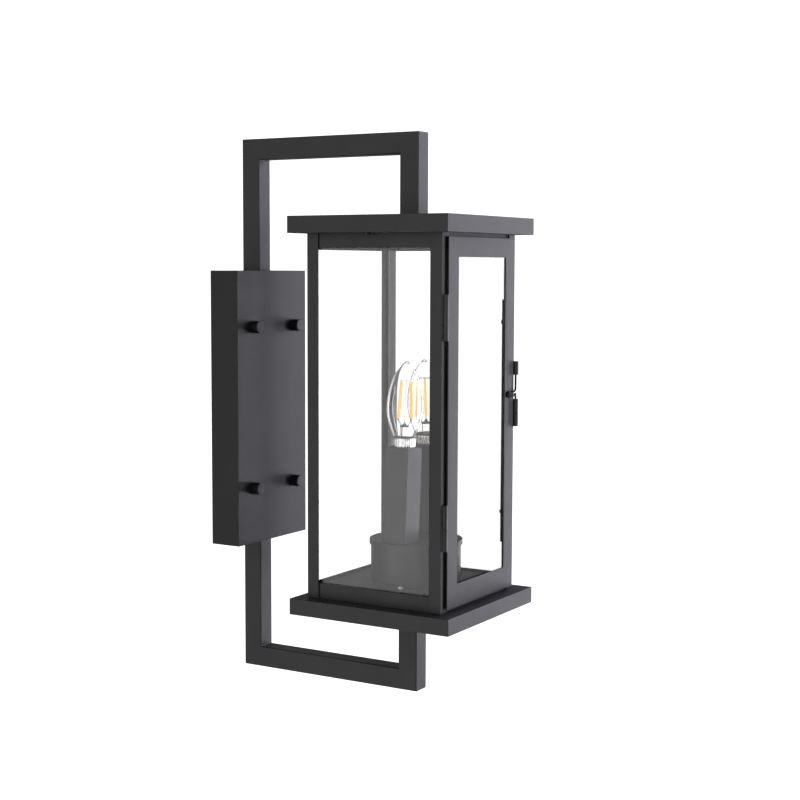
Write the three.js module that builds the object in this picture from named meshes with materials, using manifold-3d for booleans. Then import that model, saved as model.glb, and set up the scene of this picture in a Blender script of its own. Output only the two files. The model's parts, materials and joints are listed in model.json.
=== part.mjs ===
// Outdoor wall lantern. A glazed sheet-metal lantern with a hinged front door is carried on an open loop of
// square tube, and the loop is held to the wall by a shallow box fixed with four knob nuts.
// Millimetres, +Z up. The wall is the plane Y = 0 and the lantern stands out from it towards -Y, so a
// distance "out" from the wall is -Y. The origin is the middle of the mounting plate's wall side.

import * as THREE from 'three';
import { mergeVertices } from 'three/addons/utils/BufferGeometryUtils.js';
import Module from 'manifold-3d';

const wasm = await Module();
wasm.setup();

// ---- driving dimensions ----

const GAP = 0.3; // kept between pieces that touch
const SHEET = 1.2; // folded sheet metal

const WALL_BOX = { width: 113.5, height: 265, depth: 32 };
const MOUNTING_PLATE = { width: 90, height: 178, thickness: 2, slot: { across: 8, up: 52, half: 2.5 } };
const WIRE_HOLE = { up: -30, radius: 8 }; // through the mounting plate
const GROUND_SCREW = { across: -24, up: -50, hole: 2.4, shank: 2, washer: 5, head: 4, headHeight: 2.4 };
const STUD = { across: 33.7, up: 78.3, radius: 2, hole: 2.6, flange: 4, flangeHeight: 1.8 };
const KNOB = { radius: 5.85, length: 9.4, crown: 2, chamfer: 0.5 };

const TUBE = { width: 19, depth: 20, wall: 1.5 };
const LOOP = { back: 13.2, front: 192.6, top: 250, bottom: -251.4 }; // centre lines of the tubes

const BODY = { out: 191.4, width: 140, depth: 141, top: 166.7, bottom: -169.3 };
const POST_LEG = 12;
// The rails' edges towards the glass; the upper rails at the back and right hang a little lower.
const RAIL = { bottom: -154.8, top: { left: 153.3, front: 153.3, right: 151.8, back: 151.8 } };
const ROOF = { side: 166.8, height: 15.6 };
const SOFFIT_SCREW = { inset: 6.5, out: 2.4, hole: 2.2 };
const BASE = { width: 165, depth: 168, height: 15, forward: 1.5 };
const FLOOR = { width: 121, back: 131, front: 234, top: -156.2 };
const PANE = { thickness: 3, halfDepth: 64, halfBack: 66.5, top: 160.4, underFloor: 2 };

const DOOR = {
  thickness: 1.5, front: 265, halfWidth: 63.2, top: 163.3, bottom: -165.8,
  windowHalfWidth: 45, windowHalfHeight: 145.3,
};
const DOOR_PANE = { width: 100, height: 301, thickness: 2.5 };
const GLASS_STRIP = { inner: 48.8, outer: 56.8, thickness: 2.4, top: 106.5, bottom: -122 };
const STRIP_SCREWS = { heights: [85.5, -93.5], radius: 2.3, crown: 1.4, height: 2.4 };
const HINGE = {
  across: -67.5, out: 264.6, radius: 2.5, height: 40.5, up: 92.5, pin: 0.9, leaf: 1, web: 1.6,
  postLeaf: 2.2, doorLeaf: 9,
};
const LATCH = {
  across: 66.4, out: 265.6, radius: 2.7, knuckle: 13, wire: 1, leaf: 8, leafThickness: 1, web: 1.6,
};
const LATCH_KNUCKLES = [41.8, 6.1, -7]; // mid heights
const LATCH_EYE = { reach: 15.5, middle: 17.5, radius: 2.5 };
const CATCH_PEG = { radius: 0.9, height: 2.2 };

const CUP = { out: 195.7, radius: 41.2, height: 39.6, lipRadius: 42.6, lip: 5, wireHole: 13 };
const SLEEVE = { across: 27, side: 24.6, wall: 1.5, length: 87.6, lean: 3.8 };
const SOCKET = { radius: 9.6, bore: 7.6, height: 30, floor: 5 };
const BULB = {
  collarRadius: 10.7, collar: 9, shellRadius: 6.8, shell: 21, glassRadius: 17.3, glass: 70.2, skin: 0.8,
};
const CONTACT = { radius: 2.4, height: 2.4 }; // the button under a bulb's cap
// Radii and heights inside a bulb, measured from the bottom of its glass.
const FILAMENT = { radius: 1.2, foot: [7.9, 16], head: [5.6, 52.3], ring: [3.9, 9.9], lead: 0.5 };
const FILAMENT_TURN = { left: 38, right: 76 };
const FLOOR_SCREW = { across: -45.5, out: 11, radius: 2.6, height: 2.2 };

// ---- materials ----

const metal = (color, roughness, metalness) =>
  new THREE.MeshStandardMaterial({ color, roughness, metalness });
const satinBlack = metal(0x2e2d2f, 0.5, 0.4);
const hingeBlack = metal(0x161617, 0.6, 0.5);
const zinc = metal(0xb4b6b8, 0.35, 0.9);
const greyPaint = metal(0x39393b, 0.55, 0.3);
const porcelain = metal(0xdedbd2, 0.5, 0);
const nickel = metal(0xcfcfcc, 0.3, 0.8);
const amber = metal(0xf2bd62, 0.45, 0);
const clearGlass = new THREE.MeshStandardMaterial({
  color: 0xeef3f4, roughness: 0.05, metalness: 0, transparent: true, opacity: 0.25,
});

// ---- solids: joining and cutting closed meshes ----

function toSolid(geometry) {
  const bare = geometry.clone();
  for (const name of ['normal', 'uv']) bare.deleteAttribute(name);
  const merged = mergeVertices(bare, 1e-4);
  return new wasm.Manifold(new wasm.Mesh({
    numProp: 3,
    vertProperties: new Float32Array(merged.attributes.position.array),
    triVerts: new Uint32Array(merged.index.array),
  }));
}

function toGeometry(solid) {
  const mesh = solid.getMesh();
  const geometry = new THREE.BufferGeometry();
  geometry.setAttribute('position', new THREE.BufferAttribute(mesh.vertProperties, 3));
  geometry.setIndex(new THREE.BufferAttribute(mesh.triVerts, 1));
  geometry.computeVertexNormals();
  return geometry;
}

function cut(body, ...tools) {
  return toGeometry(tools.reduce((solid, tool) => solid.subtract(toSolid(tool)), toSolid(body)));
}

function join(body, ...others) {
  return toGeometry(others.reduce((solid, other) => solid.add(toSolid(other)), toSolid(body)));
}

// ---- plain shapes, all centred on their own origin unless moved ----

const block = (x, y, z) => new THREE.BoxGeometry(x, y, z);

function rod(radius, length, sides = 24) {
  return new THREE.CylinderGeometry(radius, radius, length, sides).rotateX(Math.PI / 2);
}

// A turned piece about Z; each point of its profile is [radius, height].
function turned(profile, sides = 32) {
  const points = profile.map(([radius, height]) => new THREE.Vector2(radius, height));
  return new THREE.LatheGeometry(points, sides).rotateX(Math.PI / 2);
}

// A flat plate in X and Z, from an outline and its holes, with its thickness along Y about Y = 0.
function plate(outline, holes, thickness) {
  const shape = new THREE.Shape(outline.map(([x, z]) => new THREE.Vector2(x, z)));
  shape.holes = holes;
  const solid = new THREE.ExtrudeGeometry(shape, { depth: thickness, bevelEnabled: false, curveSegments: 10 });
  return solid.rotateX(Math.PI / 2).translate(0, thickness / 2, 0);
}

const rectangle = (x0, x1, z0, z1) => [[x0, z0], [x1, z0], [x1, z1], [x0, z1]];
const holePath = (points) => new THREE.Path(points.map(([x, z]) => new THREE.Vector2(x, z)));
const roundHole = (x, z, radius) => new THREE.Path().absarc(x, z, radius, 0, 2 * Math.PI, true);

// An open box of folded sheet: a flat top with a skirt hanging down, its top face at Z = 0.
function tray(width, depth, height, sheet = SHEET) {
  const outer = block(width, depth, height).translate(0, 0, -height / 2);
  const inner = block(width - 2 * sheet, depth - 2 * sheet, height);
  return cut(outer, inner.translate(0, 0, -height / 2 - sheet));
}

// ---- scene graph ----

const lantern = new THREE.Group();

function group(parent, x, out, up) {
  const child = new THREE.Group();
  child.position.set(x, -out, up);
  parent.add(child);
  return child;
}

// Places a named piece; out is measured away from the wall, inside its group.
function piece(parent, name, geometry, material, x = 0, out = 0, up = 0) {
  const mesh = new THREE.Mesh(geometry, material.clone());
  mesh.name = name;
  mesh.position.set(x, -out, up);
  parent.add(mesh);
  return mesh;
}

const SIDES = [['left', -1], ['right', 1]];
const LEVELS = [['upper', 1], ['lower', -1]];

// ---- wall mounting: plate, studs, box and knob nuts ----

function addMountingPlate(parent) {
  const { width, height, thickness, slot } = MOUNTING_PLATE;
  const ground = GROUND_SCREW;
  const holes = [
    roundHole(0, WIRE_HOLE.up, WIRE_HOLE.radius), roundHole(ground.across, ground.up, ground.hole),
  ];
  for (const [, up] of LEVELS) {
    const slotPath = rectangle(-slot.across, slot.across, up * slot.up - slot.half, up * slot.up + slot.half);
    holes.push(holePath(slotPath.reverse()));
    for (const [, side] of SIDES) holes.push(roundHole(side * STUD.across, up * STUD.up, STUD.radius + GAP));
  }
  const outline = rectangle(-width / 2, width / 2, -height / 2, height / 2);
  piece(parent, 'mounting_plate', plate(outline, holes, thickness), hingeBlack, 0, thickness / 2);

  const head = rod(ground.head, ground.headHeight, 6).translate(0, 0, ground.headHeight / 2);
  const shank = rod(ground.shank, thickness, 12).translate(0, 0, GAP - thickness / 2);
  const washer = rod(ground.washer, 0.8, 24).translate(0, 0, 0.4);
  const screw = join(shank, washer, head).rotateX(Math.PI / 2);
  piece(parent, 'ground_screw', screw, zinc, ground.across, thickness + GAP, ground.up);
}

function addWallBox(parent) {
  const { width, height, depth } = WALL_BOX;
  const shell = tray(width, height, depth).rotateX(Math.PI / 2);
  const notchDepth = LOOP.back + TUBE.depth / 2 + GAP;
  const notch = block(TUBE.width + 2 * GAP, 2 * notchDepth, height + 10).translate(0, depth, 0);
  const holes = [];
  for (const [, up] of LEVELS) {
    for (const [, side] of SIDES) {
      const hole = rod(STUD.hole, 4 * SHEET).rotateX(Math.PI / 2);
      holes.push(hole.translate(side * STUD.across, 0, up * STUD.up));
    }
  }
  piece(parent, 'wall_box', cut(shell, notch, ...holes), satinBlack, 0, depth);
}

// A stud stands out of the mounting plate and a blind knob nut on it clamps the wall box.
function addKnobNuts(parent) {
  const first = 0.2;
  const last = WALL_BOX.depth + KNOB.length - KNOB.crown - 1;
  const low = MOUNTING_PLATE.thickness + GAP;
  const high = low + STUD.flangeHeight;
  const stud = turned([
    [0, first], [STUD.radius, first], [STUD.radius, low], [STUD.flange, low], [STUD.flange, high],
    [STUD.radius, high], [STUD.radius, last], [0, last],
  ], 20);
  const { radius, length, crown, chamfer } = KNOB;
  const bore = STUD.radius + GAP;
  const knob = turned([
    [bore, 0], [radius, 0], [radius, length - chamfer], [radius - chamfer, length],
    [0, length], [0, length - crown], [bore, length - crown], [bore, 0],
  ], 32);
  for (const [level, up] of LEVELS) {
    for (const [side, across] of SIDES) {
      const place = [STUD.across * across, 0, STUD.up * up];
      piece(parent, `stud_${level}_${side}`, stud.clone().rotateX(Math.PI / 2), zinc, ...place);
      place[1] = WALL_BOX.depth + GAP;
      piece(parent, `knob_nut_${level}_${side}`, knob.clone().rotateX(Math.PI / 2), satinBlack, ...place);
    }
  }
}

// ---- the loop of square tube ----

// A tube along Z with the loop's outer side towards +Y. A mitred end is cut at 45 degrees, a plain end square.
function squareTube(length, lowMitre, highMitre) {
  const { width, depth, wall } = TUBE;
  const prism = (outward, inward, sideways, overrun) => {
    const end = (sign, mitred, y) => sign * (length / 2 + overrun) + (mitred ? sign * (y - GAP * 0.71) : 0);
    const outline = [
      [outward, end(-1, lowMitre, outward)], [outward, end(1, highMitre, outward)],
      [inward, end(1, highMitre, inward)], [inward, end(-1, lowMitre, inward)],
    ];
    const shape = new THREE.Shape(outline.map(([y, z]) => new THREE.Vector2(y, z)));
    const solid = new THREE.ExtrudeGeometry(shape, { depth: sideways, bevelEnabled: false });
    const axes = [new THREE.Vector3(0, 1, 0), new THREE.Vector3(0, 0, 1), new THREE.Vector3(1, 0, 0)];
    return solid.applyMatrix4(new THREE.Matrix4().makeBasis(...axes)).translate(-sideways / 2, 0, 0);
  };
  const outer = prism(depth / 2, -depth / 2, width, 0);
  const inner = prism(depth / 2 - wall, wall - depth / 2, width - 2 * wall, 2);
  return cut(outer, inner);
}

function addLoop(parent) {
  const roofTop = BODY.top + ROOF.height + GAP;
  const underBase = BODY.bottom - SHEET - GAP;
  const tallness = LOOP.top - LOOP.bottom;
  const reach = LOOP.front - LOOP.back;
  const middle = (LOOP.back + LOOP.front) / 2;
  const tubes = [
    ['frame_back_upright', tallness, true, true, 0, LOOP.back, (LOOP.top + LOOP.bottom) / 2],
    ['frame_top_arm', reach, true, true, 90, middle, LOOP.top],
    ['frame_bottom_arm', reach, true, true, -90, middle, LOOP.bottom],
    ['frame_front_upper', LOOP.top - roofTop, true, false, 180, LOOP.front, (LOOP.top + roofTop) / 2],
    [
      'frame_front_lower', underBase - LOOP.bottom, false, true, 180, LOOP.front,
      (underBase + LOOP.bottom) / 2,
    ],
  ];
  for (const [name, length, lowMitre, highMitre, turn, out, up] of tubes) {
    const tube = piece(parent, name, squareTube(length, lowMitre, highMitre), satinBlack, 0, out, up);
    tube.rotation.x = THREE.MathUtils.degToRad(turn);
  }
}

// ---- lantern body: posts, rails, roof, base, floor and fixed panes ----

function addPosts(parent) {
  const low = BODY.bottom + GAP;
  const high = BODY.top + 0.2;
  const leg = POST_LEG;
  const corner = [[0, 0], [leg, 0], [leg, SHEET], [SHEET, SHEET], [SHEET, leg], [0, leg]];
  const shape = new THREE.Shape(corner.map(([x, y]) => new THREE.Vector2(x, y)));
  const angle = new THREE.ExtrudeGeometry(shape, { depth: high - low, bevelEnabled: false });
  const corners = [
    ['corner_post_front_left', -1, 1, 0], ['corner_post_front_right', 1, 1, 90],
    ['corner_post_back_right', 1, -1, 180], ['corner_post_back_left', -1, -1, 270],
  ];
  for (const [name, across, out, turn] of corners) {
    const place = [across * BODY.width / 2, out * BODY.depth / 2, low];
    const post = piece(parent, name, angle.clone(), satinBlack, ...place);
    post.rotation.z = THREE.MathUtils.degToRad(turn);
  }
}

function addRails(parent) {
  const sideFace = BODY.width / 2 - SHEET - GAP;
  const frontFace = BODY.depth / 2 - SHEET - GAP;
  const sides = [
    ['left', block(SHEET, 2 * frontFace, 1), SHEET / 2 - sideFace, 0],
    ['right', block(SHEET, 2 * frontFace, 1), sideFace - SHEET / 2, 0],
    ['front', block(2 * (sideFace - SHEET - GAP), SHEET, 1), 0, frontFace - SHEET / 2],
    ['back', block(2 * (sideFace - SHEET - GAP), SHEET, 1), 0, SHEET / 2 - frontFace],
  ];
  for (const [side, flat, across, out] of sides) {
    const bands = [
      ['upper_rail', RAIL.top[side], BODY.top + 0.1], ['lower_rail', BODY.bottom + GAP, RAIL.bottom],
    ];
    for (const [band, low, high] of bands) {
      const rail = flat.clone().scale(1, 1, high - low);
      piece(parent, `${band}_${side}`, rail, satinBlack, across, out, (high + low) / 2);
    }
  }
}

function addRoofAndBase(parent) {
  piece(parent, 'roof_cap', tray(ROOF.side, ROOF.side, ROOF.height), satinBlack, 0, 0, BODY.top + ROOF.height);

  const side = ROOF.side - 2 * (SHEET + GAP);
  const underside = BODY.top + 0.5;
  const { inset, out, hole } = SOFFIT_SCREW;
  const screwPlace = side / 2 - inset;
  const screwHoles = SIDES.map(([, sign]) => rod(hole, 10, 16).translate(sign * screwPlace, out, 0));
  const soffit = cut(block(side, side, SHEET), ...screwHoles);
  piece(parent, 'roof_soffit', soffit, satinBlack, 0, 0, underside + SHEET / 2);
  const screw = turned([[0, -2.2], [2.6, -2.2], [3.2, -1], [3.2, 0], [1.8, 0], [1.8, 6], [0, 6]], 16);
  for (const [name, sign] of SIDES) {
    const place = [sign * screwPlace, -out, underside - GAP];
    piece(parent, `soffit_screw_${name}`, screw.clone(), hingeBlack, ...place);
  }

  const base = tray(BASE.width, BASE.depth, BASE.height);
  piece(parent, 'base_tray', base, satinBlack, 0, BASE.forward, BODY.bottom);

  const panMiddle = (FLOOR.back + FLOOR.front) / 2;
  const wireHole = rod(CUP.wireHole, 10, 32).translate(0, panMiddle - CUP.out, 0);
  const pan = tray(FLOOR.width, FLOOR.front - FLOOR.back, FLOOR.top - BODY.bottom - GAP);
  piece(parent, 'floor_pan', cut(pan, wireHole), greyPaint, 0, panMiddle - BODY.out, FLOOR.top);
}

function addFixedPanes(parent) {
  const { thickness, halfDepth, halfBack, top: high, underFloor } = PANE;
  const low = BODY.bottom + underFloor;
  const middle = (high + low) / 2;
  const behindRail = SHEET + GAP + SHEET + GAP;
  const sideOut = BODY.width / 2 - behindRail - thickness / 2;
  const backOut = BODY.depth / 2 - behindRail - thickness / 2;
  for (const [side, sign] of SIDES) {
    const pane = block(thickness, 2 * halfDepth, high - low);
    piece(parent, `glass_pane_${side}`, pane, clearGlass, sign * sideOut, 0, middle);
  }
  const backPane = block(2 * halfBack, thickness, high - low);
  piece(parent, 'glass_pane_back', backPane, clearGlass, 0, -backOut, middle);
}

// ---- door: frame, pane, glass strips, hinges and latch ----

function addDoor(parent) {
  const { thickness, halfWidth, top, bottom, windowHalfWidth, windowHalfHeight } = DOOR;
  const besideKnuckle = HINGE.across + HINGE.radius + GAP;
  const outline = [[halfWidth, bottom], [halfWidth, top], [-halfWidth, top]];
  for (const [, sign] of LEVELS) {
    const high = sign * HINGE.up + HINGE.height / 2 + GAP;
    const low = sign * HINGE.up - HINGE.height / 2 - GAP;
    outline.push([-halfWidth, high], [besideKnuckle, high], [besideKnuckle, low], [-halfWidth, low]);
  }
  outline.push([-halfWidth, bottom]);
  const window = holePath(rectangle(-windowHalfWidth, windowHalfWidth, -windowHalfHeight, windowHalfHeight));
  const sheet = plate(outline, [window], thickness);
  const catchPeg = rod(CATCH_PEG.radius, thickness + CATCH_PEG.height, 16).rotateX(Math.PI / 2);
  catchPeg.translate(LATCH.across - LATCH_EYE.reach, -CATCH_PEG.height / 2, LATCH_EYE.middle);
  piece(parent, 'door_frame', join(sheet, catchPeg), satinBlack, 0, -thickness / 2);

  const pane = DOOR_PANE;
  const paneOut = -thickness - GAP - pane.thickness / 2;
  piece(parent, 'door_pane', block(pane.width, pane.thickness, pane.height), clearGlass, 0, paneOut);

  const strip = GLASS_STRIP;
  const stripOut = paneOut - pane.thickness / 2 - GAP - strip.thickness / 2;
  const bar = block(strip.outer - strip.inner, strip.thickness, strip.top - strip.bottom);
  const middle = (strip.top + strip.bottom) / 2;
  const { heights, radius, crown, height } = STRIP_SCREWS;
  const sunk = -0.4;
  const head = turned([[0, sunk], [radius, sunk], [radius, height - 0.9], [crown, height], [0, height]], 20);
  head.rotateX(-Math.PI / 2).translate(0, strip.thickness / 2, 0);
  const heads = heights.map((up) => head.clone().translate(0, 0, up - middle));
  for (const [side, sign] of SIDES) {
    const x = sign * (strip.inner + strip.outer) / 2;
    piece(parent, `door_glass_strip_${side}`, join(bar, ...heads), hingeBlack, x, stripOut, middle);
  }
}

// A lift-off hinge: the lower knuckle and its pin belong to the leaf on the post, and the upper knuckle,
// bored for the pin, to the leaf behind the door.
function addHinges(bodyGroup, doorGroup) {
  const { radius, height, pin, leaf, web, postLeaf, doorLeaf } = HINGE;
  const leafBack = HINGE.out - (BODY.out + BODY.depth / 2 + GAP);
  const leafOut = leaf / 2 - leafBack;
  const half = height / 2;
  const knuckleHeight = half - GAP / 2;
  const knuckleMiddle = half / 2 + GAP / 4;
  const knuckle = rod(radius, knuckleHeight);
  const room = rod(radius + GAP, half + 1);
  const roomMiddle = half / 2 + GAP + 0.05;
  const webBar = block(web, leafBack, knuckleHeight).translate(0, leafBack / 2, 0);

  const postPlate = block(postLeaf, leaf, height).translate(-0.2 - postLeaf / 2, -leafOut, 0);
  const postWeb = webBar.clone().translate(-1.1, 0, -knuckleMiddle);
  const lower = knuckle.clone().translate(0, 0, -knuckleMiddle);
  const pinRod = rod(pin, half, 12).translate(0, 0, half / 2 - 1.5);
  const fixedLeaf = join(cut(postPlate, room.clone().translate(0, 0, roomMiddle)), postWeb, lower, pinRod);

  const doorPlate = block(doorLeaf, leaf, height).translate(0.6 + doorLeaf / 2, -leafOut, 0);
  const doorWeb = webBar.clone().translate(1.4, 0, knuckleMiddle);
  const upper = knuckle.clone().translate(0, 0, knuckleMiddle);
  const bore = rod(pin + 0.2, half + 3, 16).translate(0, 0, half / 2);
  const plateOnDoor = cut(doorPlate, room.clone().translate(0, 0, -roomMiddle));
  const movingLeaf = cut(join(plateOnDoor, doorWeb, upper), bore);

  for (const [level, up] of LEVELS) {
    const place = [HINGE.across, HINGE.out - BODY.out, up * HINGE.up];
    piece(bodyGroup, `hinge_${level}_post_leaf`, fixedLeaf.clone(), hingeBlack, ...place);
    const doorPlace = [HINGE.across, HINGE.out - DOOR.front, up * HINGE.up];
    piece(doorGroup, `hinge_${level}_door_leaf`, movingLeaf.clone(), hingeBlack, ...doorPlace);
  }
}

// The latch: a plate behind the door's free edge with three knuckles, and one bent wire that turns in them.
// The wire's eye lies over the peg on the door.
function addLatch(doorGroup) {
  const { across, out, radius, knuckle, wire, leaf: leafWidth, leafThickness, web } = LATCH;
  const low = LATCH_KNUCKLES[2] - knuckle / 2;
  const high = LATCH_KNUCKLES[0] + knuckle / 2;
  const leafOut = DOOR.front - DOOR.thickness - GAP - leafThickness / 2 - out;
  const leafPlate = block(leafWidth, leafThickness, high - low);
  leafPlate.translate(-0.4 - leafWidth / 2, -leafOut, (high + low) / 2);
  const parts = [];
  const bores = [];
  for (const up of LATCH_KNUCKLES) {
    const length = knuckle - GAP;
    const webDepth = radius + 0.4;
    parts.push(rod(radius, length).translate(0, 0, up));
    parts.push(block(web, webDepth, length).translate(-1.2, webDepth / 2, up));
    bores.push(rod(wire + 0.35, knuckle + 2, 16).translate(0, 0, up));
  }
  const leaf = cut(join(leafPlate, ...parts), ...bores);
  const place = [across, out - DOOR.front, 0];
  piece(doorGroup, 'latch_knuckle_plate', leaf, hingeBlack, ...place);

  const { reach, middle, radius: eyeRadius } = LATCH_EYE;
  const eyeOut = DOOR.front + GAP + wire - out;
  const eye = [];
  for (let step = 0; step <= 8; step += 1) {
    const angle = THREE.MathUtils.degToRad(45 + step * 270 / 8);
    eye.push([eyeRadius * Math.cos(angle) - reach, eyeOut, middle + eyeRadius * Math.sin(angle)]);
  }
  const neck = eyeRadius + 1.8 - reach;
  const route = [
    [0, 0, high - 1], [0, 0, middle + 6.6], [-0.3, 0.1, middle + 4.7], [-2.4, eyeOut * 0.7, middle + 3],
    [neck + 3, eyeOut, middle + 1.8], [neck, eyeOut, middle + 1.25], ...eye,
    [neck, eyeOut, middle - 1.25], [neck + 3, eyeOut, middle - 1.5],
    [-3.6, eyeOut, middle - 1], [-1.8, eyeOut / 2, middle + 0.2], [-0.2, 0, middle - 0.6],
    [0, 0, middle - 2.6], [0, 0, low + 1],
  ];
  const points = route.map(([x, outward, z]) => new THREE.Vector3(x, -outward, z));
  const bent = new THREE.CatmullRomCurve3(points, false, 'centripetal');
  const section = new THREE.Shape().absarc(0, 0, wire, 0, 2 * Math.PI);
  const wireGeometry = new THREE.ExtrudeGeometry(section, {
    extrudePath: bent, steps: 90, curveSegments: 4, bevelEnabled: false,
  });
  piece(doorGroup, 'latch_wire', wireGeometry, hingeBlack, ...place);
}

// ---- lamp: cup, lid and two candles ----

function addCup(parent) {
  const { radius, height, lipRadius, lip, wireHole } = CUP;
  const rim = height - SHEET - GAP;
  const cup = turned([
    [wireHole, GAP], [radius, GAP], [radius, rim], [radius - SHEET, rim], [radius - SHEET, GAP + SHEET],
    [wireHole, GAP + SHEET], [wireHole, GAP],
  ], 48);
  piece(parent, 'lamp_cup', cup, greyPaint);
  const lid = turned([
    [0, height - SHEET], [radius + GAP, height - SHEET], [radius + GAP, height - lip],
    [lipRadius, height - lip], [lipRadius, height], [0, height],
  ], 48);
  const wireHoles = SIDES.map(([, sign]) => rod(4, 10, 16).translate(sign * SLEEVE.across, 0, height));
  piece(parent, 'lamp_cup_lid', cut(lid, ...wireHoles), greyPaint);
}

// The outside of a candle bulb's glass, as [radius, height] from the bottom of the glass.
function candleProfile() {
  const { glassRadius } = BULB;
  const outline = new THREE.CatmullRomCurve3([
    [9.4, 0], [11.4, 4], [15.4, 13.5], [glassRadius, 27], [16.7, 38.5], [14.1, 49.5], [10.8, 57.5],
    [6.2, 64.8], [2.6, 69.2],
  ].map(([radius, height]) => new THREE.Vector3(radius, height, 0)));
  return outline.getPoints(13).map((point) => [point.x, point.y]);
}

// A round bar standing in the X-Z plane, between two points given as [X, Z].
function slantedBar(radius, [lowX, lowZ], [highX, highZ]) {
  const length = Math.hypot(highX - lowX, highZ - lowZ);
  const bar = rod(radius, length, 8).rotateY(Math.atan2(highX - lowX, highZ - lowZ));
  return bar.translate((lowX + highX) / 2, 0, (lowZ + highZ) / 2);
}

// One candle stands on its group's origin and leans towards the middle of the lamp.
function addCandle(parent, side) {
  const { wall, length, lean } = SLEEVE;
  const hollow = SLEEVE.side - 2 * wall;
  const floorCutter = block(60, 60, 6).rotateY(THREE.MathUtils.degToRad(-lean)).translate(0, 0, -3 + GAP);
  const outer = block(SLEEVE.side, SLEEVE.side, length + 2).translate(0, 0, length / 2 - 1);
  const inner = block(hollow, hollow, length + 8).translate(0, 0, length / 2);
  const sleeve = cut(outer, inner, floorCutter);
  piece(parent, `candle_sleeve_${side}`, sleeve, greyPaint);

  const socketTop = length - 1;
  const socketBase = socketTop - SOCKET.height;
  const socket = turned([
    [0, socketBase], [SOCKET.radius, socketBase], [SOCKET.radius, socketTop], [SOCKET.bore, socketTop],
    [SOCKET.bore, socketBase + SOCKET.floor], [0, socketBase + SOCKET.floor],
  ], 28);
  piece(parent, `lampholder_${side}`, socket, porcelain);

  const collarLow = length + GAP;
  const collarTop = collarLow + BULB.collar;
  const shellLow = collarLow - BULB.shell;
  const { collarRadius, shellRadius } = BULB;
  const mouth = 7.2;
  const cap = turned([
    [0, shellLow - CONTACT.height], [CONTACT.radius, shellLow - CONTACT.height], [2.8, shellLow - 1],
    [shellRadius, shellLow], [shellRadius, collarLow], [collarRadius, collarLow],
    [collarRadius, collarTop - 0.6], [collarRadius - 0.8, collarTop], [mouth, collarTop],
    [mouth, collarTop - 3], [0, collarTop - 3],
  ], 28);
  piece(parent, `bulb_cap_${side}`, cap, nickel);

  const base = collarTop + GAP;
  const outside = candleProfile();
  const { glass: tip, skin } = BULB;
  const outerGlass = turned([[0, 0], ...outside, [0, tip]], 28);
  const insideProfile = outside.slice(0, -1).map(([radius, height]) => [radius - skin, height]);
  const innerGlass = turned([[0, -2], [outside[0][0] - skin, -2], ...insideProfile, [0, tip - 3.4]], 28);
  piece(parent, `bulb_glass_${side}`, cut(outerGlass, innerGlass), clearGlass, 0, 0, base);

  const { radius, foot, head, ring, lead } = FILAMENT;
  const [ringRadius, ringUp] = ring;
  const top = head[1] + 1;
  const stem = turned([
    [0, -2], [6, -2], [6, -0.5], [4.2, 4], [3, ringUp], [1.2, ringUp + 3], [0, ringUp + 3],
  ], 16);
  const collar = rod(ringRadius + 0.4, 1, 16).translate(0, 0, ringUp);
  const post = slantedBar(lead, [0, ringUp], [0, top]);
  const bridge = rod(head[0] + radius, 0.8, 16).translate(0, 0, top);
  const filaments = [];
  for (let index = 0; index < 4; index += 1) {
    const angle = THREE.MathUtils.degToRad(FILAMENT_TURN[side] + 45 + index * 90);
    filaments.push(slantedBar(radius, foot, [head[0], top]).rotateZ(angle));
    filaments.push(slantedBar(lead, ring, [foot[0], foot[1] + 1]).rotateZ(angle));
  }
  const mount = join(stem, collar, post, bridge, ...filaments);
  piece(parent, `filament_mount_${side}`, mount, amber, 0, 0, base);
}

function addLamp(parent) {
  addCup(parent);
  for (const [side, sign] of SIDES) {
    const candle = group(parent, sign * SLEEVE.across, 0, CUP.height);
    candle.rotation.z = sign > 0 ? Math.PI : 0;
    const leaning = new THREE.Group();
    leaning.rotation.y = THREE.MathUtils.degToRad(SLEEVE.lean);
    candle.add(leaning);
    addCandle(leaning, side);
  }
  const { across, out, radius, height } = FLOOR_SCREW;
  const screw = turned([[0, GAP], [radius, GAP], [radius, height - 1], [radius - 1, height], [0, height]], 16);
  piece(parent, 'floor_screw', screw, zinc, across, out, 0);
}

// ---- assembly ----

addMountingPlate(lantern);
addWallBox(lantern);
addKnobNuts(lantern);
addLoop(lantern);

const bodyGroup = group(lantern, 0, BODY.out, 0);
addPosts(bodyGroup);
addRails(bodyGroup);
addRoofAndBase(bodyGroup);
addFixedPanes(bodyGroup);

const doorGroup = group(lantern, 0, DOOR.front, 0);
addDoor(doorGroup);
addHinges(bodyGroup, doorGroup);
addLatch(doorGroup);

const lampGroup = group(lantern, 0, CUP.out, FLOOR.top);
addLamp(lampGroup);

export default lantern;
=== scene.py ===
import json
import math

import bmesh
import bpy
from mathutils import Matrix, Vector


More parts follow.
